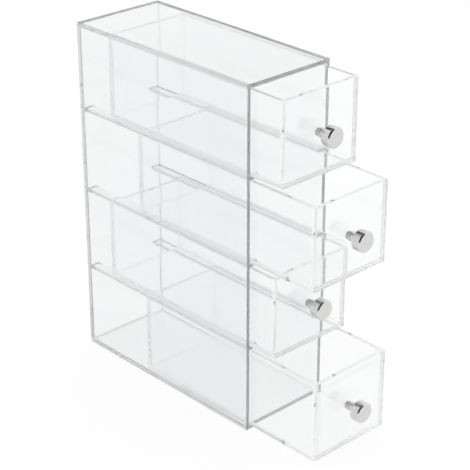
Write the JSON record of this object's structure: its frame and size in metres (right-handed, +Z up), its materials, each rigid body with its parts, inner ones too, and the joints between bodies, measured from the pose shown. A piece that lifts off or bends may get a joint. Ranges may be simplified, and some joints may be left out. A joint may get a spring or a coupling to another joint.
{
  "type": "acrylic drawer organiser",
  "caption": "Tall, narrow desktop organiser in clear acrylic sheet, with stacked open-topped drawers that slide out to the front on side rails and have round turned metal knobs",
  "frame": {"origin": "middle of the case's underside, on the surface it stands on", "axes": "+Z up, drawers open towards -Y, +X to the right as seen from the front"},
  "size_m": [0.076, 0.2533, 0.26],
  "materials": {
    "case_acrylic": "clear cast acrylic sheet, polished faces and edges",
    "drawer_acrylic": "clear cast acrylic sheet, polished faces and edges",
    "chrome_plate": "bright chrome plate on turned metal",
    "zinc_plated_steel": "zinc-plated steel screw, slightly dull"
  },
  "bodies": {
    "case": {"base_panel": "case_acrylic", "top_panel": "case_acrylic", "back_panel": "case_acrylic", "left_side_panel": "case_acrylic", "right_side_panel": "case_acrylic", "top_rail_left": "case_acrylic", "top_rail_right": "case_acrylic", "upper_rail_left": "case_acrylic", "upper_rail_right": "case_acrylic", "lower_rail_left": "case_acrylic", "lower_rail_right": "case_acrylic"},
    "top_drawer": {"top_drawer_front": "drawer_acrylic", "top_drawer_floor": "drawer_acrylic", "top_drawer_back": "drawer_acrylic", "top_drawer_left": "drawer_acrylic", "top_drawer_right": "drawer_acrylic", "top_drawer_knob": "chrome_plate", "top_drawer_screw": "zinc_plated_steel"},
    "upper_drawer": {"upper_drawer_front": "drawer_acrylic", "upper_drawer_floor": "drawer_acrylic", "upper_drawer_back": "drawer_acrylic", "upper_drawer_left": "drawer_acrylic", "upper_drawer_right": "drawer_acrylic", "upper_drawer_knob": "chrome_plate", "upper_drawer_screw": "zinc_plated_steel"},
    "lower_drawer": {"lower_drawer_front": "drawer_acrylic", "lower_drawer_floor": "drawer_acrylic", "lower_drawer_back": "drawer_acrylic", "lower_drawer_left": "drawer_acrylic", "lower_drawer_right": "drawer_acrylic", "lower_drawer_knob": "chrome_plate", "lower_drawer_screw": "zinc_plated_steel"},
    "bottom_drawer": {"bottom_drawer_front": "drawer_acrylic", "bottom_drawer_floor": "drawer_acrylic", "bottom_drawer_back": "drawer_acrylic", "bottom_drawer_left": "drawer_acrylic", "bottom_drawer_right": "drawer_acrylic", "bottom_drawer_knob": "chrome_plate", "bottom_drawer_screw": "zinc_plated_steel"}
  },
  "joints": [
    {"name": "top_drawer_slide", "type": "slide", "parent": "case", "child": "top_drawer", "axis": [0, -1, 0], "range_m": [-0.0295, 0.1105]},
    {"name": "upper_drawer_slide", "type": "slide", "parent": "case", "child": "upper_drawer", "axis": [0, -1, 0], "range_m": [-0.059, 0.081]},
    {"name": "lower_drawer_slide", "type": "slide", "parent": "case", "child": "lower_drawer", "axis": [0, -1, 0], "range_m": [-0.024, 0.116]},
    {"name": "bottom_drawer_slide", "type": "slide", "parent": "case", "child": "bottom_drawer", "axis": [0, -1, 0], "range_m": [-0.0635, 0.0765]}
  ]
}
